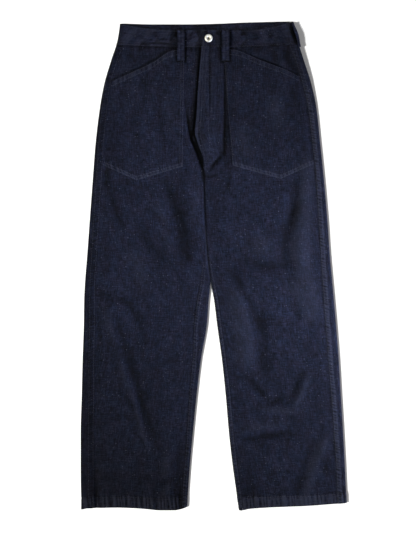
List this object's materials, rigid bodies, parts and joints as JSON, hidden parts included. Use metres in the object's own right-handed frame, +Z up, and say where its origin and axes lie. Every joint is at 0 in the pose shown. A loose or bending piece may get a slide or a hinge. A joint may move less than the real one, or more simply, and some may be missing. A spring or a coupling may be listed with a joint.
{
  "type": "straight jeans",
  "caption": "Straight-leg denim jeans laid flat with the front up: a belt-looped waistband with a ring button, a lapped fly, large patch pockets and turned-up hems.",
  "frame": {"origin": "on the table, under the middle of the garment", "axes": "+Y along the legs up to the waist, +X across towards the wearer's left, +Z up from the table out of the front"},
  "size_m": [0.5784, 1.0599, 0.0235],
  "materials": {
    "denim": "one-wash dark indigo denim with slubs and light specks",
    "denim_band": "dark indigo denim, doubled and pressed",
    "button_metal": "bright white metal",
    "tack_metal": "dark, dull"
  },
  "bodies": {
    "root": {"front_left": "denim", "front_right": "denim", "back_left": "denim", "back_right": "denim", "pocket_left": "denim", "pocket_right": "denim", "fly_shield": "denim", "waistband": "denim_band", "loop_front_left": "denim_band", "loop_front_right": "denim_band", "loop_side_left": "denim_band", "loop_side_right": "denim_band", "loop_back": "denim_band", "button": "button_metal", "button_tack": "tack_metal"}
  },
  "joints": []
}
